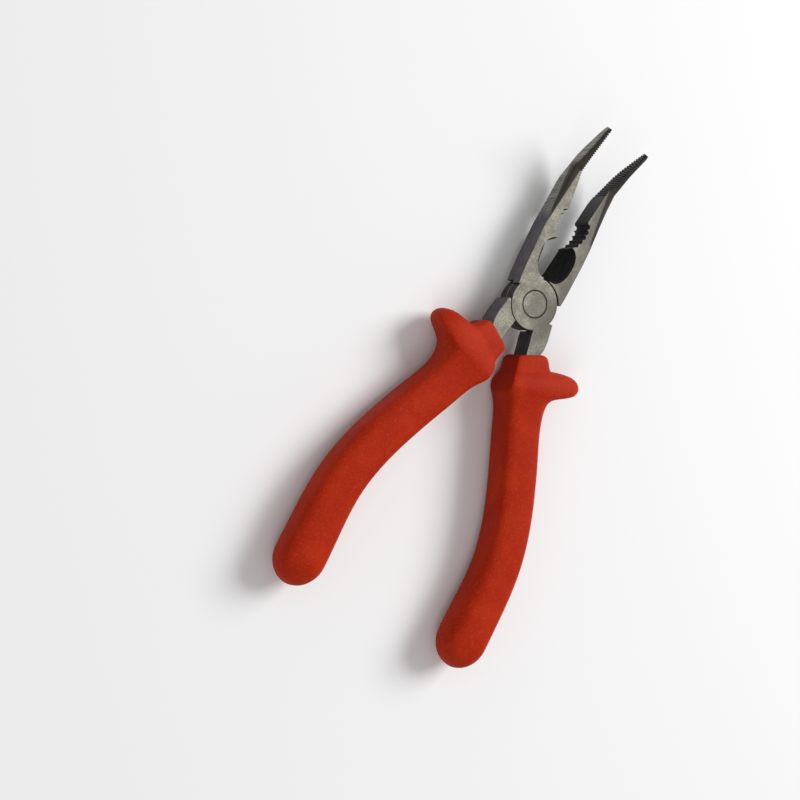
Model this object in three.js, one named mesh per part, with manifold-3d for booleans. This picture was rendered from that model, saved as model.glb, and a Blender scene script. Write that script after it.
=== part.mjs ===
// Bent long-nose pliers lying flat, in millimetres: +Z is the pivot axis, +Y points to the tips.
// Each half is drawn closed in its own frame, where the mating plane is x = 0 and the middle of
// the head is z = 0, and is then turned open about the pivot. The origin is on the head's rear face.
import * as THREE from "three";
import { ConvexGeometry } from "three/addons/geometries/ConvexGeometry.js";
import { mergeVertices } from "three/addons/utils/BufferGeometryUtils.js";
import Module from "manifold-3d";

const wasm = await Module();
wasm.setup();
const { Manifold, Mesh: SolidMesh } = wasm;

// Head and pivot
const HEAD_THICK = 9.4;
const HALF_THICK = HEAD_THICK / 2;
const HUB_R = 9.8;
const SEAT_R = 10.1;
const LAP_GAP = 0.3;
const MATE_GAP = 0.1;
const OPEN_DEG = 14.4;
const RIVET_R = 5.0;
const RIVET_WAIST_R = 4.0;
const RIVET_HEAD = 1.2;
const RIVET_CHAMFER = 0.15;
const BORE_CLEAR = 0.15;
const ROUND_SIDES = 72;

// Jaw: where each shoulder starts ahead of the pivot
const HUB_STEP_Y = 4.7;
const SEAT_STEP_Y = 5.9;
const SEAT_STEP_X = 8.3;

// Cutter recess: half an oval, sunk from the front face down to an edge near the rear face
const RECESS_DEPTH = 5.2;
const RECESS_Y = 18.3;
const RECESS_HALF = 7.9;
const RECESS_POWER = 2.25;
const RECESS_INSET = 0.8;
const EDGE_Z = -3.8;
const EDGE_BEVEL = 0.9;

// Pipe grip: a hollow arc with round-bottomed teeth
const ARC_R = 10.5;
const ARC_X = 8.35;
const ARC_Y = 31.8;
const TOOTH_PITCH = 2.15;
const TOOTH_R = 0.9;
const TOOTH_LIFT = 0.15;
const TOOTH_GAPS = 5;
const TOOTH_SHIFT = 0.5;

// Fine serrations across the bent tips
const SERRATION_PITCH = 1.05;
const SERRATION_DEPTH = 0.45;
const SERRATION_WIDTH = 0.85;
const SERRATION_HALF = 7;

// Jaw stations: front edge (y, z), rear edge (y, z), width, corner radius
const JAW = [
  [HUB_STEP_Y, HALF_THICK, HUB_STEP_Y, -HALF_THICK, 9.35, 0.3],
  [9, HALF_THICK, 9, -HALF_THICK, 9.35, 0.3],
  [16, HALF_THICK, 16, -HALF_THICK, 8.75, 0.3],
  [23, HALF_THICK, 23, -HALF_THICK, 8.1, 0.3],
  [30, HALF_THICK, 30, -HALF_THICK, 7.25, 0.35],
  [35, HALF_THICK, 35, -HALF_THICK, 6.45, 0.75],
  [40, HALF_THICK, 40, -HALF_THICK, 5.65, 1.15],
  [44, HALF_THICK, 44, -HALF_THICK, 5.15, 1.55],
  [47, HALF_THICK, 47, -4.65, 4.75, 1.8],
  [50, HALF_THICK, 50, -3.95, 4.35, 1.65],
  [53.2, HALF_THICK, 53.4, -1.9, 3.85, 1.4],
  [55.4, 6.2, 56.2, -0.5, 3.45, 1.3],
  [57.8, 7.9, 59.2, 1.2, 3.0, 1.3],
  [60.4, 9.8, 62.2, 3.7, 2.5, 1.25],
  [63.0, 11.7, 64.9, 6.8, 2.15, 1.1],
  [65.6, 13.6, 67.2, 9.6, 1.9, 1.0],
  [67.6, 15.0, 69.0, 11.9, 1.65, 0.85],
  [68.6, 15.5, 69.7, 13.1, 1.35, 0.7],
];

const CORNER_STEPS = 4;
const BEND_STATION = 9;

// Shank and the tang that carries on inside the grip
const LEDGE_X = 10.2;
const LEDGE_Y = -4.4;
const TANG_HALF_START = 3.6;
const TANG_HALF_END = 2.1;
const TANG_END = 96;
const TANG_STEPS = 14;
const FIT_GAP = 0.3;

// Grip: centre line of the handle in the closed half frame (x, y)
const GRIP_LINE = [
  [6.2, -17.7],
  [9.6, -26.6],
  [11.5, -34],
  [13.8, -45.6],
  [17.3, -57.8],
  [20.8, -70],
  [23.4, -82],
  [24.6, -95],
  [23.4, -108],
  [21.5, -120],
  [20.0, -135.5],
];
// Grip stations: distance along the line, inner half width, outer half width, half thickness,
// squareness of the inner side and of the outer side, and the tilt of the finger guard, which
// carries its rear edge nearer to the pivot than its front edge
const GRIP = [
  [0, 5.2, 4.6, 5.4, 8, 8, 0],
  [0.5, 6.4, 5.7, 5.9, 8, 8, 0],
  [1.6, 7.3, 6.9, 6.3, 9, 8, 0],
  [5.9, 8.0, 7.2, 6.6, 9, 8, 0],
  [6.2, 8.3, 9.0, 6.9, 9, 5, 0.06],
  [6.8, 9.0, 14.5, 7.3, 8, 3.6, 0.11],
  [7.5, 9.8, 17.8, 7.8, 8, 3.3, 0.12],
  [8.5, 10.5, 20.4, 8.3, 8, 3.1, 0.12],
  [9.8, 10.9, 21.8, 8.7, 8, 3, 0.12],
  [11.4, 11.1, 21.9, 8.9, 8, 3, 0.12],
  [12.7, 11.1, 20.4, 8.9, 7.5, 3, 0.12],
  [13.4, 11.0, 17.6, 8.8, 7, 3.1, 0.12],
  [14.1, 10.9, 13.8, 8.7, 6.6, 3.1, 0.11],
  [14.9, 10.7, 10.8, 8.5, 6.2, 3.2, 0.08],
  [16.2, 10.4, 8.8, 8.3, 5.8, 3.3, 0.04],
  [18, 9.9, 7.7, 8.0, 5.3, 3.5, 0],
  [20, 9.5, 7.1, 7.8, 5, 3.6, 0],
  [23, 9.0, 6.9, 7.6, 4.6, 3.6, 0],
  [28, 8.7, 7.0, 7.5, 4.2, 3.6, 0],
  [35, 8.45, 7.4, 7.5, 4, 3.6, 0],
  [43, 8.2, 7.8, 7.5, 4, 3.6, 0],
  [56, 8.1, 8.0, 7.5, 3.9, 3.5, 0],
  [67, 8.2, 8.15, 7.5, 3.7, 3.4, 0],
  [78, 8.35, 8.3, 7.5, 3.4, 3.3, 0],
  [89, 8.55, 8.5, 7.6, 3.2, 3.2, 0],
  [99, 8.8, 8.8, 7.8, 3.0, 3.0, 0],
  [109, 9.1, 9.1, 8.0, 2.8, 2.8, 0],
];
// The guard of the grip at -x sits further down its handle than the other one, and reaches less far
const GUARD_SLIP = 2.0;
const SLIP_RISE = [3, 10];
const SLIP_FALL = [16.2, 43];
const SHORT_REACH = 0.84;
const GUARD_ROOT = 8;
const GRIP_CLEAR = 0.6;
const GRIP_DOME = 11;
const DOME_TURN = 0.47 * Math.PI;
const MOUTH_LEAD = 3;
const DOME_STEPS = 7;
const GRIP_SIDES = 32;

const STEEL = { color: 0xb4b1a6, roughness: 0.42, metalness: 0.9 };
const RIVET = { color: 0xaaa79b, roughness: 0.38, metalness: 0.9 };
const ORANGE = { color: 0xd4401c, roughness: 0.55, metalness: 0.0 };

function solidOf(geometry) {
  const bare = geometry.clone();
  bare.deleteAttribute("normal");
  bare.deleteAttribute("uv");
  const merged = mergeVertices(bare, 1e-4);
  return new Manifold(
    new SolidMesh({
      numProp: 3,
      vertProperties: new Float32Array(merged.attributes.position.array),
      triVerts: new Uint32Array(merged.index.array),
    }),
  );
}

function meshOf(solid, name, look) {
  const data = solid.getMesh();
  const indexed = new THREE.BufferGeometry();
  indexed.setAttribute("position", new THREE.BufferAttribute(data.vertProperties, 3));
  indexed.setIndex(new THREE.BufferAttribute(data.triVerts, 1));
  const geometry = indexed.toNonIndexed();
  geometry.computeVertexNormals();
  const mesh = new THREE.Mesh(geometry, new THREE.MeshStandardMaterial(look));
  mesh.name = name;
  return mesh;
}

// A closed skin through rings of equal length, counter-clockwise seen from the last ring.
function loft(rings) {
  const count = rings[0].length;
  const points = rings.flat();
  const faces = [];
  for (let r = 0; r + 1 < rings.length; r += 1) {
    for (let i = 0; i < count; i += 1) {
      const a = r * count + i;
      const b = r * count + ((i + 1) % count);
      faces.push(a, b, b + count, a, b + count, a + count);
    }
  }
  for (const [ring, flip] of [[0, true], [rings.length - 1, false]]) {
    const middle = new THREE.Vector3();
    rings[ring].forEach((p) => middle.addScaledVector(p, 1 / count));
    points.push(middle);
    for (let i = 0; i < count; i += 1) {
      const a = ring * count + i;
      const b = ring * count + ((i + 1) % count);
      faces.push(points.length - 1, flip ? b : a, flip ? a : b);
    }
  }
  const geometry = new THREE.BufferGeometry().setFromPoints(points);
  geometry.setIndex(faces);
  return solidOf(geometry);
}

function prism(outline, low, high) {
  const shape = new THREE.Shape(outline.map(([x, y]) => new THREE.Vector2(x, y)));
  const geometry = new THREE.ExtrudeGeometry(shape, { depth: high - low, bevelEnabled: false });
  return solidOf(geometry.translate(0, 0, low));
}

function disc(radius, low, high, x = 0, y = 0, sides = 96) {
  const geometry = new THREE.CylinderGeometry(radius, radius, high - low, sides);
  return solidOf(geometry.rotateX(Math.PI / 2).translate(x, y, (low + high) / 2));
}

function box(low, high) {
  const geometry = new THREE.BoxGeometry(...high.map((v, i) => v - low[i]));
  return solidOf(geometry.translate(...high.map((v, i) => (v + low[i]) / 2)));
}

function hull(points) {
  return solidOf(new ConvexGeometry(points.map((p) => new THREE.Vector3(...p))));
}

// One cross-section of the jaw: flat on the mating side, rounded at the two outer corners.
function jawRing([frontY, frontZ, rearY, rearZ, width, corner]) {
  const front = new THREE.Vector3(0, frontY, frontZ);
  const rear = new THREE.Vector3(0, rearY, rearZ);
  const across = front.clone().sub(rear);
  const half = across.length() / 2;
  across.normalize();
  const middle = front.clone().add(rear).multiplyScalar(0.5);
  const at = (x, w) => middle.clone().addScaledVector(across, w).setX(x);
  const ring = [at(-MATE_GAP, -half), at(-MATE_GAP, half)];
  for (const end of [1, -1]) {
    for (let i = 0; i <= CORNER_STEPS; i += 1) {
      const turn = ((end > 0 ? i : CORNER_STEPS - i) / CORNER_STEPS) * (Math.PI / 2);
      const x = -(width - corner) - corner * Math.sin(turn);
      ring.push(at(x, end * (half - corner + corner * Math.cos(turn))));
    }
  }
  return ring.reverse();
}

function jawBlank() {
  return loft(JAW.map(jawRing));
}

function cutterRecess() {
  const steps = 24;
  const lowY = RECESS_Y - RECESS_HALF + RECESS_INSET;
  const highY = RECESS_Y + RECESS_HALF - RECESS_INSET;
  const brow = [];
  for (let i = 0; i <= steps; i += 1) {
    const [u, w] = superEllipse((i / steps - 0.5) * Math.PI, RECESS_POWER);
    brow.push([-RECESS_DEPTH * u, RECESS_Y + RECESS_HALF * w]);
  }
  const above = HALF_THICK + 0.5;
  const slope = hull([
    ...brow.map(([x, y]) => [x, y, HALF_THICK]),
    ...brow.map(([x, y]) => [x, y, above]),
    ...[lowY, highY].flatMap((y) => [[-MATE_GAP, y, EDGE_Z], [1, y, EDGE_Z], [1, y, above]]),
  ]);
  const low = -HALF_THICK - 0.01;
  const bevel = hull(
    [lowY, highY].flatMap((y) => [
      [-MATE_GAP, y, EDGE_Z],
      [-MATE_GAP - EDGE_BEVEL, y, low],
      [1, y, low],
      [1, y, EDGE_Z],
    ]),
  );
  return slope.add(bevel);
}

function pipeGrip() {
  const top = HALF_THICK + 1;
  let cut = disc(ARC_R, -top, top, ARC_X, ARC_Y, 128);
  for (let i = 0; i < TOOTH_GAPS; i += 1) {
    const turn = ((i - (TOOTH_GAPS - 1) / 2) * TOOTH_PITCH) / ARC_R;
    const x = ARC_X + TOOTH_LIFT - ARC_R * Math.cos(turn);
    const y = ARC_Y + TOOTH_SHIFT + ARC_R * Math.sin(turn);
    cut = cut.add(disc(TOOTH_R, -top, top, x, y, 16));
  }
  return cut;
}

// The nose's middle line on the mating plane, from the bend to the tip.
function noseAt(distance) {
  let left = distance;
  for (let i = BEND_STATION; i + 1 < JAW.length; i += 1) {
    const [a, b] = [JAW[i], JAW[i + 1]];
    const start = new THREE.Vector2((a[0] + a[2]) / 2, (a[1] + a[3]) / 2);
    const end = new THREE.Vector2((b[0] + b[2]) / 2, (b[1] + b[3]) / 2);
    const span = start.distanceTo(end);
    if (left <= span) {
      const share = left / span;
      const across = new THREE.Vector2(
        THREE.MathUtils.lerp(a[0] - a[2], b[0] - b[2], share),
        THREE.MathUtils.lerp(a[1] - a[3], b[1] - b[3], share),
      ).normalize();
      return { at: start.lerp(end, share), across };
    }
    left -= span;
  }
  return null;
}

function serrations() {
  const cuts = [];
  for (let d = 1; noseAt(d + SERRATION_WIDTH); d += SERRATION_PITCH) {
    const { at, across } = noseAt(d);
    const along = new THREE.Vector2(across.y, -across.x);
    const points = [];
    for (const end of [-SERRATION_HALF, SERRATION_HALF]) {
      for (const [x, step] of [[-MATE_GAP - SERRATION_DEPTH, 0], [0.3, -1], [0.3, 1]]) {
        const shift = (step * SERRATION_WIDTH) / 2;
        points.push([
          x,
          at.x + across.x * end + along.x * shift,
          at.y + across.y * end + along.y * shift,
        ]);
      }
    }
    cuts.push(hull(points));
  }
  return Manifold.union(cuts);
}

const gripCurve = new THREE.CatmullRomCurve3(
  GRIP_LINE.map(([x, y]) => new THREE.Vector3(x, y, 0)),
  false,
  "centripetal",
);
const gripLength = gripCurve.getLength();

// Point on the handle's middle line and its outward side direction.
function handleAt(distance) {
  const share = Math.min(distance / gripLength, 1);
  const at = gripCurve.getPointAt(share);
  const along = gripCurve.getTangentAt(share);
  return { at, out: new THREE.Vector3(-along.y, along.x, 0) };
}

function tangOutline(extra) {
  const inner = [];
  const outer = [];
  for (let i = 1; i <= TANG_STEPS; i += 1) {
    const distance = (i / TANG_STEPS) * (TANG_END + extra);
    const { at, out } = handleAt(distance);
    const half = THREE.MathUtils.lerp(TANG_HALF_START, TANG_HALF_END, i / TANG_STEPS) + extra;
    inner.push([at.x - out.x * half, at.y - out.y * half]);
    outer.push([at.x + out.x * half, at.y + out.y * half]);
  }
  return { inner, outer };
}

function shank() {
  const { inner, outer } = tangOutline(0);
  return [
    [3.0, -7.0],
    [3.1, -11.8],
    [3.5, -15],
    [3.8, -18.9],
    ...inner,
    ...outer.reverse(),
    [9.55, -16.8],
    [10.45, -14.2],
    [10.65, -10.5],
    [LEDGE_X, LEDGE_Y],
    [8.2, -4.3],
  ];
}

function superEllipse(turn, power) {
  const c = Math.cos(turn);
  const s = Math.sin(turn);
  return [
    Math.sign(c) * Math.abs(c) ** (2 / power),
    Math.sign(s) * Math.abs(s) ** (2 / power),
  ];
}

function gripRing([distance, inner, outer, thick, innerPower, outerPower, tilt], scale = 1) {
  const { at, out } = handleAt(distance);
  const back = new THREE.Vector3(out.y, -out.x, 0);
  const ring = [];
  for (let i = 0; i < GRIP_SIDES; i += 1) {
    const turn = ((i + 0.5) / GRIP_SIDES) * Math.PI * 2;
    const outside = Math.cos(turn) > 0;
    const [u, w] = superEllipse(turn, outside ? outerPower : innerPower);
    const across = u * (outside ? outer : inner) * scale;
    const p = at.clone().addScaledVector(out, across);
    const z = w * thick * scale;
    p.addScaledVector(back, tilt * z * Math.min(Math.max(across / GUARD_ROOT, 0), 1));
    ring.push(p.setX(Math.max(p.x, GRIP_CLEAR)).setZ(z));
  }
  return ring;
}

// A station's distance once the guard has slipped down the handle.
function slipped(distance, slip) {
  const rise = THREE.MathUtils.mapLinear(distance, ...SLIP_RISE, 0, 1);
  const fall = THREE.MathUtils.mapLinear(distance, ...SLIP_FALL, 1, 0);
  return distance + slip * THREE.MathUtils.clamp(Math.min(rise, fall), 0, 1);
}

function grip(slip, reach) {
  const rings = GRIP.map(([distance, inner, outer, ...rest]) => {
    const shorter = Math.max(outer - GUARD_ROOT, 0) * (1 - reach);
    return gripRing([slipped(distance, slip), inner, outer - shorter, ...rest]);
  });
  const [start, ...section] = GRIP[GRIP.length - 1];
  for (let i = 1; i <= DOME_STEPS; i += 1) {
    const turn = (i / DOME_STEPS) * DOME_TURN;
    rings.push(gripRing([start + GRIP_DOME * Math.sin(turn), ...section], Math.cos(turn)));
  }
  const { inner: left, outer: right } = tangOutline(FIT_GAP);
  const mouth = handleAt(0);
  const half = TANG_HALF_START + FIT_GAP;
  const lead = [-1, 1].map((side) => [
    mouth.at.x + side * mouth.out.x * half - mouth.out.y * MOUTH_LEAD,
    mouth.at.y + side * mouth.out.y * half + mouth.out.x * MOUTH_LEAD,
  ]);
  const thickness = HALF_THICK + FIT_GAP;
  const pocket = prism([lead[0], ...left, ...right.reverse(), lead[1]], -thickness, thickness);
  return loft(rings).subtract(pocket);
}

function bore() {
  const deep = HALF_THICK - RIVET_HEAD;
  const cone = RIVET_R - RIVET_WAIST_R;
  const wide = RIVET_R + BORE_CLEAR;
  const waist = RIVET_WAIST_R + BORE_CLEAR;
  const outline = [
    [0, -HALF_THICK - 1],
    [wide, -HALF_THICK - 1],
    [wide, -deep],
    [waist, -deep + cone],
    [waist, deep - cone],
    [wide, deep],
    [wide, HALF_THICK + 1],
    [0, HALF_THICK + 1],
  ].map(([r, y]) => new THREE.Vector2(r, y));
  return solidOf(new THREE.LatheGeometry(outline, ROUND_SIDES).rotateX(Math.PI / 2));
}

function rivet() {
  const deep = HALF_THICK - RIVET_HEAD + BORE_CLEAR;
  const cone = RIVET_R - RIVET_WAIST_R;
  const outline = [
    [0, -HALF_THICK],
    [RIVET_R - RIVET_CHAMFER, -HALF_THICK],
    [RIVET_R, -HALF_THICK + RIVET_CHAMFER],
    [RIVET_R, -deep],
    [RIVET_WAIST_R, -deep + cone],
    [RIVET_WAIST_R, deep - cone],
    [RIVET_R, deep],
    [RIVET_R, HALF_THICK - RIVET_CHAMFER],
    [RIVET_R - RIVET_CHAMFER, HALF_THICK],
    [0, HALF_THICK],
  ].map(([r, y]) => new THREE.Vector2(r, y));
  return solidOf(new THREE.LatheGeometry(outline, ROUND_SIDES).rotateX(Math.PI / 2));
}

// One forged half with its jaw at -x and its handle at +x. The hub is the front half of the
// head when up is true, and the rear half otherwise.
function forging(up) {
  const tall = 3 * HEAD_THICK;
  const lap = LAP_GAP / 2;
  const hub = up ? [lap, HALF_THICK] : [-HALF_THICK, -lap];
  const seat = up ? [-tall, lap] : [-lap, tall];
  const seatCut = disc(SEAT_R, seat[0], seat[1]).add(
    box([-20, -SEAT_STEP_Y, seat[0]], [-SEAT_STEP_X, SEAT_STEP_Y, seat[1]]),
  );
  const jaw = jawBlank()
    .subtract(seatCut)
    .subtract(cutterRecess())
    .subtract(pipeGrip())
    .subtract(serrations());
  const handle = prism(shank(), -HALF_THICK, HALF_THICK).subtract(
    disc(SEAT_R, seat[0], seat[1]),
  );
  return disc(HUB_R, hub[0], hub[1]).add(jaw).add(handle).subtract(bore());
}

function place(solid, mirrored) {
  const turn = (mirrored ? -1 : 1) * (OPEN_DEG / 2);
  const sided = mirrored ? solid.mirror([1, 0, 0]) : solid;
  return sided.rotate([0, 0, turn]).translate([0, 0, HALF_THICK]);
}

const pliers = new THREE.Group();
pliers.name = "bent_nose_pliers";
pliers.add(
  meshOf(place(forging(true), false), "half_front_hub", STEEL),
  meshOf(place(forging(false), true), "half_rear_hub", STEEL),
  meshOf(rivet().translate([0, 0, HALF_THICK]), "rivet", RIVET),
  meshOf(place(grip(0, 1), false), "grip_front_hub_half", ORANGE),
  meshOf(place(grip(GUARD_SLIP, SHORT_REACH), true), "grip_rear_hub_half", ORANGE),
);

export default pliers;
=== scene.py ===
"""Bent-nose pliers: refined steel halves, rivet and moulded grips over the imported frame."""

import math

import bmesh
import bpy
from mathutils import Matrix, Vector


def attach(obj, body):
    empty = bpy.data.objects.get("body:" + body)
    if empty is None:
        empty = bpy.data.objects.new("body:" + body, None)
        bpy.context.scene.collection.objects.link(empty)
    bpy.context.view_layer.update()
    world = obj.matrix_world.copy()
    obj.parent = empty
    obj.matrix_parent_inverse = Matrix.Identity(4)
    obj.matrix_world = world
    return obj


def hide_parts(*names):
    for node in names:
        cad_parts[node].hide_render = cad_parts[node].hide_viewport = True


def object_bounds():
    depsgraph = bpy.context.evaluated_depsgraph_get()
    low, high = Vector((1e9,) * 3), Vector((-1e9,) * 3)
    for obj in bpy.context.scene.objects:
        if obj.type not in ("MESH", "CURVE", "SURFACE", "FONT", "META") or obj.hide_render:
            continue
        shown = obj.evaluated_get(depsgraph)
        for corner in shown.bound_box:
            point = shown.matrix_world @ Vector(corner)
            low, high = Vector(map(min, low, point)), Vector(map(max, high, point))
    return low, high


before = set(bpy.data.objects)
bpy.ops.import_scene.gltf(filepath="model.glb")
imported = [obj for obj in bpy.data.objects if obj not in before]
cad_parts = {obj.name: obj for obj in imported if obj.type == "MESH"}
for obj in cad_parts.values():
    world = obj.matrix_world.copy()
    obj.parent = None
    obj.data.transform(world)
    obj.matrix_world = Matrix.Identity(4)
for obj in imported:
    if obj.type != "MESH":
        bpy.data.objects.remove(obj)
cad_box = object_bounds()

# ------------------------------------------------------------------ dimensions
# Named lengths are in millimetres, and MM turns them into Blender's metres.
MM = 0.001
MM_PER_METRE = 1000

FRONT_BODY = "front_half"
REAR_BODY = "rear_half"

HALF_OPEN = math.radians(7.2)  # how far each half is turned from closed at rest
TIP_FRONT = Vector((0, -0.68, 0.73))  # the way the front of the bent tips faces
HUB_RADIUS = 9.8
RIVET_SEAM_RADIUS = 5.05
BORE_ZONE_RADIUS = 6.0

# Stretches along the tool, as (from, to), and single places, from the pivot towards the tips.
SHANK_SHADE = (-14, -6)
# Over the next three stretches, painted shade darkens and browns the moving jaw's nose, the noses and
# the tips.
MOVING_NOSE_SHADE_SPAN = (27, 43)
SHADED_NOSE_SPAN = (34, 52)
SHADED_TIP_SPAN = (53.0, 54.0)
CROSS_GROUND = (32, 38)
# The next four place the painted dark shade on the rounded corners and the bent tips.
FACET_BEGINS = (27, 33)
FACET_ENDS = (53, 57)
FACET_ON_TIP = (51.5, 53)
FACET_ORIGIN = 30
RECESS = (10, 26.6)
TEETH = (25, 38)
BEND = 52
MATING_FACE = 9.5
SHOULDER = 7
JAW_EDGE = 4.6
SHANK_START = -4

# Places across a half, from its mating plane at 0 to its outer side.
RECESS_DEEPEST = -5.2
TEETH_DEEPEST = -3.4

# The painted shade and the painted dark facet, as (from, to), and the facet's growth for each
# millimetre along.
SHADE_ACROSS = (-3.0, 10.0)
FACET_HEIGHT = (8.7, 9.2)
FACET_REACH = (6.2, 6.8)
FACET_LOWERING = 0.13
FACET_WIDENING = 0.243

# ---------------------------------------------------------------------- palette


def srgb(r, g, b):
    """Linear colour of an 8-bit display colour."""
    return tuple(((v / 255 + 0.055) / 1.055) ** 2.4 if v > 10 else v / 3295 for v in (r, g, b))


GROUND_DULL = srgb(112, 109, 97)
GROUND_BRIGHT = srgb(150, 147, 132)
GROUND_PIT = srgb(78, 75, 66)
GROUND_SCRATCH = srgb(160, 156, 142)
GROUND_SHADED = srgb(72, 70, 62)
# Painted shade: the next three colours darken and brown the moving jaw's nose, the noses and the
# tips.
MOVING_NOSE_SHADE_BROWN = srgb(64, 58, 50)
NOSE_SHADE_BROWN = srgb(92, 83, 71)
TIP_SHADE_BROWN = srgb(62, 50, 40)
SEAM_BROWN = srgb(62, 50, 36)
# Painted shade: near-black on the rounded corners of the noses.
FACET_SHADE_BLACK = srgb(46, 40, 34)
OXIDE_DARK = srgb(66, 63, 70)
OXIDE_PALE = srgb(84, 81, 88)
OXIDE_FLECK = srgb(112, 109, 114)
CROSS_DARK = srgb(98, 96, 90)
CROSS_PALE = srgb(142, 140, 131)
# Near-black milled steel: partly painted shade for the recesses, the teeth and the faces between the
# parts.
MILLED_SHADE_DARK = srgb(19, 17, 19)
MILLED_LINE = srgb(44, 41, 43)
MILLED_FLECK = srgb(66, 63, 62)
GRIP_DEEP = srgb(161, 34, 6)
GRIP_BRIGHT = srgb(171, 41, 8)
GRIP_SCUFF = srgb(190, 68, 40)
GRIP_PORE = srgb(138, 20, 2)


# ---------------------------------------------------------------- node helpers
class Look:
    """A material and its node tree, with one-line calls for the nodes it needs."""

    def __init__(self, name):
        self.material = bpy.data.materials.new(name)
        self.material.use_nodes = True
        self.tree = self.material.node_tree
        self.tree.nodes.clear()
        output = self.add("ShaderNodeOutputMaterial")
        self.shader = self.add("ShaderNodeBsdfPrincipled")
        self.link(self.shader.outputs["BSDF"], output.inputs["Surface"])
        coords = self.add("ShaderNodeTexCoord")
        self.normal = self.split(coords.outputs["Normal"])
        scaled = self.add("ShaderNodeVectorMath", operation="SCALE")
        self.link(coords.outputs["Object"], scaled.inputs[0])
        scaled.inputs["Scale"].default_value = MM_PER_METRE
        self.place = scaled.outputs["Vector"]
        self.at = self.split(self.place)

    def add(self, kind, **settings):
        node = self.tree.nodes.new(kind)
        for key, value in settings.items():
            setattr(node, key, value)
        return node

    def link(self, source, target):
        """Joins an output to the target socket, or sets the socket to a plain value."""
        if hasattr(source, "links"):
            self.tree.links.new(source, target)
        else:
            target.default_value = source

    def split(self, vector):
        node = self.add("ShaderNodeSeparateXYZ")
        self.link(vector, node.inputs[0])
        return node.outputs

    def maths(self, operation, a, b=0.0):
        node = self.add("ShaderNodeMath", operation=operation)
        self.link(a, node.inputs[0])
        self.link(b, node.inputs[1])
        return node.outputs[0]

    def step(self, value, low, high, start=0.0, end=1.0):
        """Goes smoothly from start to end as the value goes from low to high."""
        node = self.add("ShaderNodeMapRange", interpolation_type="SMOOTHSTEP")
        self.link(value, node.inputs["Value"])
        for key, number in zip(("From Min", "From Max", "To Min", "To Max"), (low, high, start, end)):
            node.inputs[key].default_value = number
        return node.outputs["Result"]

    def stretched(self, scale, turn=0.0):
        """The place on the object in millimetres, scaled by axis and turned about Z."""
        node = self.add("ShaderNodeMapping")
        self.link(self.place, node.inputs["Vector"])
        node.inputs["Scale"].default_value = scale
        node.inputs["Rotation"].default_value = (0, 0, turn)
        return node.outputs["Vector"]

    def noise(self, scale, detail=3.0, vector=None, rough=0.55):
        node = self.add("ShaderNodeTexNoise")
        self.link(vector or self.place, node.inputs["Vector"])
        node.inputs["Scale"].default_value = scale
        node.inputs["Detail"].default_value = detail
        node.inputs["Roughness"].default_value = rough
        return node.outputs["Fac"]

    def mix(self, share, a, b):
        """Colour a, with the given share of colour b over it."""
        node = self.add("ShaderNodeMix", data_type="RGBA")
        self.link(share, node.inputs[0])
        for value, socket in ((a, node.inputs[6]), (b, node.inputs[7])):
            self.link(value if hasattr(value, "links") else (*value, 1.0), socket)
        return node.outputs[2]

    def bump(self, height, distance, strength):
        node = self.add("ShaderNodeBump")
        self.link(height, node.inputs["Height"])
        node.inputs["Distance"].default_value = distance
        node.inputs["Strength"].default_value = strength
        self.link(node.outputs["Normal"], self.shader.inputs["Normal"])

    def set(self, **values):
        """Sets or links the shader's sockets, named with _ for a space."""
        for key, value in values.items():
            self.link(value, self.shader.inputs[key.replace("_", " ")])


# ----------------------------------------------------------------------- masks
def slant(look):
    """How far the mating plane stands from x = 0 at rest, at this distance from the pivot."""
    return look.maths("MULTIPLY", look.maths("ABSOLUTE", look.at[1]), math.sin(HALF_OPEN))


def mating_distance(look):
    """Distance of a jaw's surface from its mating plane, with the tool at rest."""
    side = look.maths("MULTIPLY", look.maths("ABSOLUTE", look.at[0]), math.cos(HALF_OPEN))
    return look.maths("SUBTRACT", side, slant(look))


def leaning(look):
    """How squarely a surface faces the way the front of the bent tips faces."""
    y = look.maths("MULTIPLY", look.normal[1], TIP_FRONT.y)
    return look.maths("ADD", y, look.maths("MULTIPLY", look.normal[2], TIP_FRONT.z))


def outer_shade(look):
    """Share of shade on a ground face, growing towards +X and less on the shanks."""
    across = look.step(look.maths("SUBTRACT", look.at[0], slant(look)), *SHADE_ACROSS, 0.0, 0.68)
    return look.maths("MULTIPLY", across, look.step(look.at[1], *SHANK_SHADE, 0.4, 1.0))


def moving_jaw_nose_shade(look):
    """Share of painted shade, dark and brown, on the nose of the moving jaw, which lies at +X."""
    moving_jaw = look.step(look.at[0], 4.0, 7.0)
    return look.maths("MULTIPLY", moving_jaw, look.step(look.at[1], *MOVING_NOSE_SHADE_SPAN, 0.0, 0.75))


def rivet_ring(look):
    """Brown stain in the seam round the rivet."""
    squares = [look.maths("MULTIPLY", axis, axis) for axis in look.at[:2]]
    radius = look.maths("SQRT", look.maths("ADD", *squares))
    off_seam = look.maths("ABSOLUTE", look.maths("SUBTRACT", radius, RIVET_SEAM_RADIUS))
    return look.step(off_seam, 0.2, 0.5, 0.85, 0.0)


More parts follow.
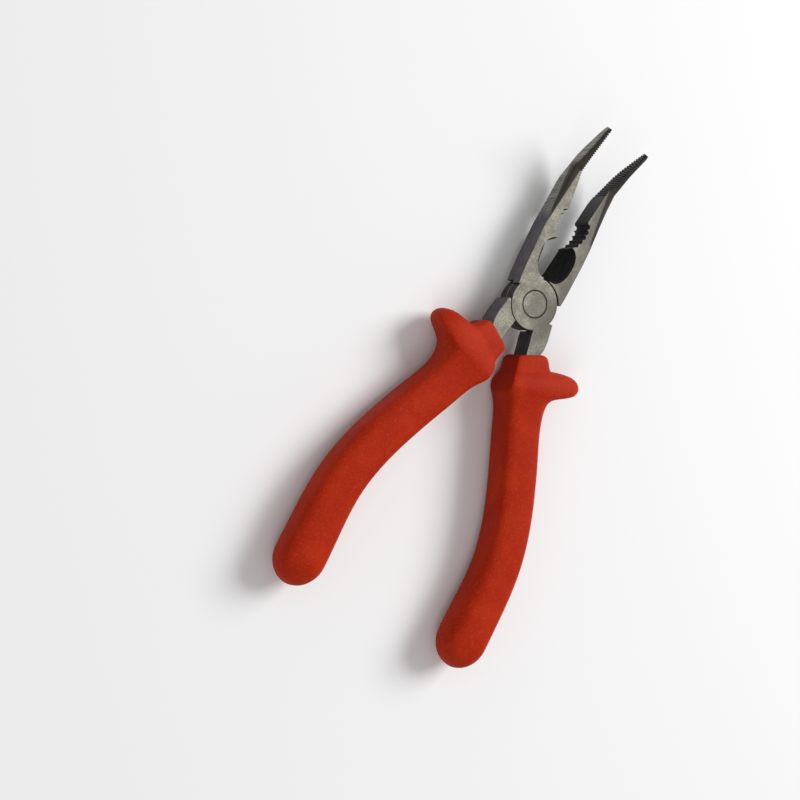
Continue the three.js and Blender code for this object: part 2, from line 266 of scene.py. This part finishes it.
def facet_shade_share(look):
    """Painted dark shade on the rounded corner between a jaw's front and its side, wider towards the
    bend.
    """
    level = look.maths("ABSOLUTE", look.normal[2])
    tilted = look.step(level, 0.12, 0.38)
    corner = look.maths("MULTIPLY", tilted, look.step(level, 0.90, 0.99, 1.0, 0.0))

    along = look.maths("SUBTRACT", look.at[1], FACET_ORIGIN)
    height = look.maths("ADD", look.at[2], look.maths("MULTIPLY", along, FACET_LOWERING))
    side_top = look.step(height, *FACET_HEIGHT)
    side_top = look.maths("MULTIPLY", side_top, look.step(level, 0.5, 0.9, 1.0, 0.0))

    reach = look.maths("ADD", look.maths("MULTIPLY", along, FACET_WIDENING), mating_distance(look))
    wider_at_right = look.step(look.at[0], 3.0, 6.0, 0.0, 0.6)
    reach = look.step(look.maths("ADD", reach, wider_at_right), *FACET_REACH)
    flat_edge = look.maths("MULTIPLY", reach, look.step(level, 0.85, 0.95))

    band = look.maths("MAXIMUM", corner, look.maths("MAXIMUM", side_top, flat_edge))
    stretch = look.step(look.at[1], *FACET_BEGINS)
    stretch = look.maths("MULTIPLY", stretch, look.step(look.at[1], *FACET_ENDS, 1.0, 0.0))
    bent = look.step(leaning(look), 0.25, 0.5, 0.0, 0.8)
    tip = look.maths("MULTIPLY", look.step(look.at[1], *FACET_ON_TIP), bent)
    return look.maths("MAXIMUM", look.maths("MULTIPLY", band, stretch), tip)


# ------------------------------------------------------------------- materials
def ground_steel(name):
    """Satin ground face: fine grit, with painted shade that is darker to the right and darker,
    browner towards the bent tips.
    """
    look = Look(name)
    cloud = look.noise(0.16, 2)
    grit = look.noise(1.5, 4, rough=0.8)
    scratch = look.noise(1.6, 2, look.stretched((0.4, 1.5, 1.0), 0.5))
    tone = look.mix(look.step(cloud, 0.35, 0.65), GROUND_DULL, GROUND_BRIGHT)
    tone = look.mix(look.step(grit, 0.42, 0.70, 0.0, 0.75), tone, GROUND_PIT)
    tone = look.mix(look.step(scratch, 0.5, 0.72, 0.0, 0.22), tone, GROUND_SCRATCH)
    tone = look.mix(outer_shade(look), tone, GROUND_SHADED)
    # Painted shade: the moving jaw's nose, the noses and then the tips turn darker and browner.
    tone = look.mix(moving_jaw_nose_shade(look), tone, MOVING_NOSE_SHADE_BROWN)
    tone = look.mix(look.step(look.at[1], *SHADED_NOSE_SPAN, 0.0, 0.5), tone, NOSE_SHADE_BROWN)
    tone = look.mix(look.step(look.at[1], *SHADED_TIP_SPAN, 0.0, 0.85), tone, TIP_SHADE_BROWN)
    tone = look.mix(rivet_ring(look), tone, SEAM_BROWN)
    # Painted shade: the rounded corners along the noses and the fronts of the bent tips turn
    # near-black.
    facet = facet_shade_share(look)
    look.set(Base_Color=look.mix(facet, tone, FACET_SHADE_BLACK))
    look.set(Metallic=look.step(facet, 0.0, 1.0, 0.3, 0.0))
    rough = look.step(grit, 0.3, 0.7, 0.46, 0.6)
    look.set(Roughness=look.maths("MAXIMUM", rough, look.step(facet, 0.0, 1.0, 0.0, 0.85)))
    look.bump(look.maths("ADD", grit, look.maths("MULTIPLY", scratch, 0.6)), 0.08 * MM, 0.6)
    return look.material


def dark_steel(name):
    """Forged side: dark purple-grey oxide near the head, cross-ground grey out on the nose."""
    look = Look(name)
    cloud = look.noise(0.4, 3)
    grain = look.noise(2.2, 4, rough=0.7)
    lines = look.noise(1.0, 2, look.stretched((0.12, 2.1, 0.12), 0.35))
    oxide = look.mix(look.step(cloud, 0.35, 0.7), OXIDE_DARK, OXIDE_PALE)
    oxide = look.mix(look.step(grain, 0.5, 0.75, 0.0, 0.4), oxide, OXIDE_FLECK)
    grey = look.mix(look.step(lines, 0.35, 0.65), CROSS_DARK, CROSS_PALE)
    wavy = look.maths("ADD", look.at[1], look.maths("MULTIPLY", cloud, 5.0))
    cross_ground = look.step(wavy, *CROSS_GROUND)
    tone = look.mix(cross_ground, oxide, grey)
    # Painted shade: the near-black rounded corners, where the side is cross-ground.
    tone = look.mix(look.maths("MULTIPLY", facet_shade_share(look), cross_ground), tone, FACET_SHADE_BLACK)
    look.set(Base_Color=tone, Metallic=0.3)
    look.set(Roughness=look.step(grain, 0.3, 0.7, 0.46, 0.62))
    look.bump(look.maths("ADD", grain, look.maths("MULTIPLY", lines, cross_ground)), 0.12 * MM, 0.6)
    return look.material


def milled_shaded_steel(name):
    """Inside of the jaws: near-black, partly painted shade over dark milled steel, with milling
    lines.
    """
    look = Look(name)
    grain = look.noise(2.2, 4, rough=0.7)
    lines = look.noise(1.2, 2, look.stretched((0.2, 0.2, 2.4)))
    tone = look.mix(look.step(lines, 0.45, 0.65), MILLED_SHADE_DARK, MILLED_LINE)
    tone = look.mix(look.step(grain, 0.5, 0.78, 0.0, 0.35), tone, MILLED_FLECK)
    look.set(Base_Color=tone, Metallic=0.3)
    look.set(Roughness=look.step(grain, 0.3, 0.7, 0.42, 0.6))
    look.bump(look.maths("ADD", grain, lines), 0.1 * MM, 0.6)
    return look.material


def grip_plastic(name):
    """Orange-red moulded grip with a fine matt grain and a few paler scuffs."""
    look = Look(name)
    cloud = look.noise(0.09, 2)
    grain = look.noise(1.3, 3, rough=0.65)
    fine = look.noise(3.4, 2)
    tone = look.mix(look.step(cloud, 0.35, 0.7), GRIP_DEEP, GRIP_BRIGHT)
    tone = look.mix(look.step(grain, 0.50, 0.72, 0.0, 0.5), tone, GRIP_SCUFF)
    tone = look.mix(look.step(fine, 0.5, 0.7, 0.0, 0.25), tone, GRIP_PORE)
    look.set(Base_Color=tone, Specular_IOR_Level=0.08)
    look.set(Roughness=look.step(grain, 0.3, 0.7, 0.52, 0.66))
    look.bump(look.maths("ADD", grain, look.maths("MULTIPLY", fine, 0.5)), 0.15 * MM, 0.5)
    return look.material


GROUND = ground_steel("ground_steel")
DARK = dark_steel("dark_steel")
MILLED_SHADED = milled_shaded_steel("milled_shaded_steel")
PLASTIC = grip_plastic("grip_plastic")
STEELS = (GROUND, DARK, MILLED_SHADED)
GROUND_SLOT, DARK_SLOT, MILLED_SHADED_SLOT = range(3)


# ---------------------------------------------------------------------- meshes
JOINED_WITHIN = 0.002  # vertices this close are one
FLAT_ANGLE = math.radians(0.8)  # faces that turn less than this are one flat face
FACES_FRONT = 0.97  # the least |z| in the normal of a face ground flat

# Edges that turn more than this many degrees stay sharp in the shading.
STEEL_SHARP = 24
RIVET_SHARP = 40
GRIP_SHARP = 50
NOTHING_SHARP = 180
GRIP_CREASE = math.radians(60)  # edges that turn more keep their form when subdivided

# How far the edges of the steel halves are rounded.
SHARP_EDGE = math.radians(28)  # a flatter edge than this isn't rounded
BROKEN_EDGE = 0.1
FACE_EDGE = 0.12
SOFT_EDGE = 0.25
SHANK_EDGE = 0.6
HUB_EDGE = (0.2, 0.6)  # at the jaw side and at the handle side


def copied(node, name):
    """A CAD node's mesh with its vertices joined, open for editing, and the piece that it is for."""
    bm = bmesh.new()
    bm.from_mesh(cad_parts[node].data)
    bmesh.ops.remove_doubles(bm, verts=bm.verts, dist=JOINED_WITHIN * MM)
    bmesh.ops.recalc_face_normals(bm, faces=bm.faces)
    mesh = bpy.data.meshes.new(name)
    piece = bpy.data.objects.new(name, mesh)
    bpy.context.scene.collection.objects.link(piece)
    return bm, piece


def merge_flats(bm):
    """Makes one polygon of the triangles on each flat face."""
    bmesh.ops.dissolve_limit(bm, angle_limit=FLAT_ANGLE, verts=bm.verts, edges=bm.edges)


def finish_mesh(bm, piece, sharp_degrees, materials):
    """Writes the edited mesh to the piece, smooth but for edges sharper than the angle."""
    bm.to_mesh(piece.data)
    bm.free()
    piece.data.shade_smooth()
    piece.data.set_sharp_from_angle(angle=math.radians(sharp_degrees))
    for material in materials:
        piece.data.materials.append(material)


def apply_modifiers(piece):
    """Bakes the piece's modifiers into its mesh."""
    graph = bpy.context.evaluated_depsgraph_get()
    mesh = bpy.data.meshes.new_from_object(piece.evaluated_get(graph), depsgraph=graph)
    piece.modifiers.clear()
    piece.data = mesh


def own_frame(mirrored):
    """World to the closed half's frame: jaw at -x, handle at +x, mating plane at x = 0."""
    turn = Matrix.Rotation(HALF_OPEN if mirrored else -HALF_OPEN, 4, "Z")
    flip = Matrix.Diagonal((-1, 1, 1, 1)) if mirrored else Matrix.Identity(4)
    return flip @ turn


def ease(value, low, high):
    """0 at low, 1 at high, and smooth between them."""
    t = min(max((value - low) / (high - low), 0.0), 1.0)
    return t * t * (3 - 2 * t)


def edge_round(edge, own, mirrored):
    """How far a sharp edge of a half is rounded."""
    if len(edge.link_faces) != 2 or not edge.is_convex:
        return 0.0
    if edge.calc_face_angle(0.0) < SHARP_EDGE:
        return 0.0
    middle = own @ ((edge.verts[0].co + edge.verts[1].co) / 2) / MM
    normals = [own.to_3x3() @ face.normal for face in edge.link_faces]
    side = min(normals, key=lambda normal: abs(normal.z))
    beside_flat = max(abs(normal.z) for normal in normals) >= FACES_FRONT
    radius = math.hypot(middle.x, middle.y)
    if not beside_flat or abs(side.z) > 0.3 or radius < BORE_ZONE_RADIUS:
        return BROKEN_EDGE
    outward = Vector((middle.x, middle.y, 0)).normalized()
    if radius < HUB_RADIUS + 0.2 and side.dot(outward) > 0.9:
        jaw_side, handle_side = HUB_EDGE
        return jaw_side + (handle_side - jaw_side) * ease(middle.x / radius, -0.3, 0.6)
    if middle.y > JAW_EDGE and side.x < -0.6:
        return SOFT_EDGE
    if middle.y < SHANK_START and side.x > 0.4:
        return SOFT_EDGE if mirrored else SHANK_EDGE
    return FACE_EDGE


def steel_slot(centre, normal):
    """Which steel a face of a half has, from its middle and its normal in the half's frame."""
    bent_front = centre.y > BEND and normal.dot(TIP_FRONT) > 0.8
    if abs(normal.z) > FACES_FRONT or bent_front:
        return GROUND_SLOT
    upright = abs(normal.z) < 0.5
    # On these faces the near-black milled steel is partly painted shade: between the jaws, in the
    # recess and the teeth, under the shoulder and on the hub rim.
    mating = centre.y > MATING_FACE and normal.x > 0.15
    recess = RECESS[0] < centre.y < RECESS[1] and centre.x > RECESS_DEEPEST
    teeth = TEETH[0] < centre.y < TEETH[1] and centre.x > TEETH_DEEPEST and upright
    shoulder = centre.y < SHOULDER and normal.y < -0.5 and centre.x < 0
    rim = math.hypot(centre.x, centre.y) < HUB_RADIUS + 0.5 and upright
    return MILLED_SHADED_SLOT if mating or recess or teeth or shoulder or rim else DARK_SLOT


def steel_half(node, name, body, mirrored):
    """One forged half: edges rounded, and each face in the steel that it was finished in."""
    bm, piece = copied(node, name)
    merge_flats(bm)
    own = own_frame(mirrored)
    weight = bm.edges.layers.float.new("bevel_weight_edge")
    for edge in bm.edges:
        edge[weight] = edge_round(edge, own, mirrored)
    for face in bm.faces:
        centre = own @ face.calc_center_median() / MM
        face.material_index = steel_slot(centre, own.to_3x3() @ face.normal)
    finish_mesh(bm, piece, STEEL_SHARP, STEELS)
    bevel = piece.modifiers.new("round", "BEVEL")
    bevel.width = 1.0 * MM  # times the edge's weight, so a weight is a width in millimetres
    bevel.segments = 3
    bevel.limit_method = "WEIGHT"
    bevel.use_clamp_overlap = False
    flat = piece.modifiers.new("flat", "WEIGHTED_NORMAL")
    flat.keep_sharp = True
    flat.weight = 80
    apply_modifiers(piece)
    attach(piece, body)
    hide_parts(node)


def pivot_rivet():
    """The rivet, with its two ends ground like the faces of the head."""
    bm, piece = copied("rivet", "rivet_ground")
    merge_flats(bm)
    for face in bm.faces:
        face.material_index = GROUND_SLOT if abs(face.normal.z) > FACES_FRONT else DARK_SLOT
    finish_mesh(bm, piece, RIVET_SHARP, (GROUND, DARK))
    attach(piece, FRONT_BODY)
    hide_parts("rivet")


def moulded_grip(node, name, body):
    """One grip, subdivided to a smooth moulded form with a creased pocket mouth."""
    bm, piece = copied(node, name)
    bmesh.ops.join_triangles(
        bm,
        faces=bm.faces,
        angle_face_threshold=math.radians(40),
        angle_shape_threshold=math.radians(60),
    )
    crease = bm.edges.layers.float.new("crease_edge")
    for edge in bm.edges:
        if len(edge.link_faces) == 2 and edge.calc_face_angle(0.0) > GRIP_CREASE:
            edge[crease] = 0.85
    finish_mesh(bm, piece, NOTHING_SHARP, (PLASTIC,))
    smooth = piece.modifiers.new("smooth", "SUBSURF")
    smooth.levels = 2
    smooth.render_levels = 2
    apply_modifiers(piece)
    piece.data.set_sharp_from_angle(angle=math.radians(GRIP_SHARP))
    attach(piece, body)
    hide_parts(node)


steel_half("half_front_hub", "steel_half_front", FRONT_BODY, False)
steel_half("half_rear_hub", "steel_half_rear", REAR_BODY, True)
pivot_rivet()
moulded_grip("grip_front_hub_half", "moulded_grip_front", FRONT_BODY)
moulded_grip("grip_rear_hub_half", "moulded_grip_rear", REAR_BODY)


# ----------------------------------------------------------------------- stage
# Places and sizes here are in metres.
FLOOR_HALF_WIDTH = 3.0
FLOOR_GAP = 0.2 * MM
FLOOR_WHITE = (0.86, 0.86, 0.86, 1)

WORLD_STRENGTH = 0.42
SENSOR_WIDTH = 36  # millimetres, as the lens
LENS = 65.27
CAMERA_AIM = Vector((-29.06, -55.51, 4.7)) * MM
CAMERA_DISTANCE = 517.04 * MM
CAMERA_AZIMUTH = math.radians(-69.54)  # 0 looks along +Y and 90 along -X
CAMERA_ELEVATION = math.radians(64.48)
CAMERA_ROLL = math.radians(98.1)


def pale_floor():
    mesh = bpy.data.meshes.new("floor")
    bm = bmesh.new()
    bmesh.ops.create_grid(bm, x_segments=1, y_segments=1, size=FLOOR_HALF_WIDTH)
    bm.to_mesh(mesh)
    bm.free()
    floor = bpy.data.objects.new("floor", mesh)
    floor.location.z = cad_box[0].z - FLOOR_GAP
    bpy.context.scene.collection.objects.link(floor)
    paint = bpy.data.materials.new("floor_paint")
    paint.use_nodes = True
    shader = paint.node_tree.nodes["Principled BSDF"]
    shader.inputs["Base Color"].default_value = FLOOR_WHITE
    shader.inputs["Roughness"].default_value = 0.9
    shader.inputs["Specular IOR Level"].default_value = 0.1
    floor.data.materials.append(paint)


def soft_light(name, place, aim, side, watts):
    """A square area light at place, turned towards aim."""
    data = bpy.data.lights.new(name, "AREA")
    data.shape = "SQUARE"
    data.size = side
    data.energy = watts
    lamp = bpy.data.objects.new(name, data)
    lamp.location = place
    lamp.rotation_euler = (Vector(aim) - Vector(place)).to_track_quat("-Z", "Y").to_euler()
    bpy.context.scene.collection.objects.link(lamp)


def studio():
    world = bpy.data.worlds.new("studio")
    world.use_nodes = True
    back = world.node_tree.nodes["Background"]
    back.inputs["Color"].default_value = (1, 1, 1, 1)
    back.inputs["Strength"].default_value = WORLD_STRENGTH
    bpy.context.scene.world = world
    soft_light("key", place=(0.85, 1.05, 1.15), aim=(0, -0.03, 0), side=0.9, watts=29.0)
    soft_light("fill", place=(-0.2, -1.3, 1.3), aim=(0, -0.05, 0), side=1.0, watts=5.0)


def front_camera():
    """A camera at CAMERA_DISTANCE from CAMERA_AIM, which it looks at."""
    data = bpy.data.cameras.new("camera")
    data.sensor_width = SENSOR_WIDTH
    data.lens = LENS
    data.clip_start = 10 * MM
    camera = bpy.data.objects.new("camera", data)
    turn = Matrix.Rotation(CAMERA_AZIMUTH, 4, "Z")
    turn @= Matrix.Rotation(math.pi / 2 - CAMERA_ELEVATION, 4, "X")
    turn @= Matrix.Rotation(CAMERA_ROLL, 4, "Z")
    back_off = Matrix.Translation((0, 0, CAMERA_DISTANCE))
    camera.matrix_world = Matrix.Translation(CAMERA_AIM) @ turn @ back_off
    bpy.context.scene.collection.objects.link(camera)
    bpy.context.scene.camera = camera


pale_floor()
studio()
front_camera()
bpy.context.scene.view_settings.view_transform = "Standard"
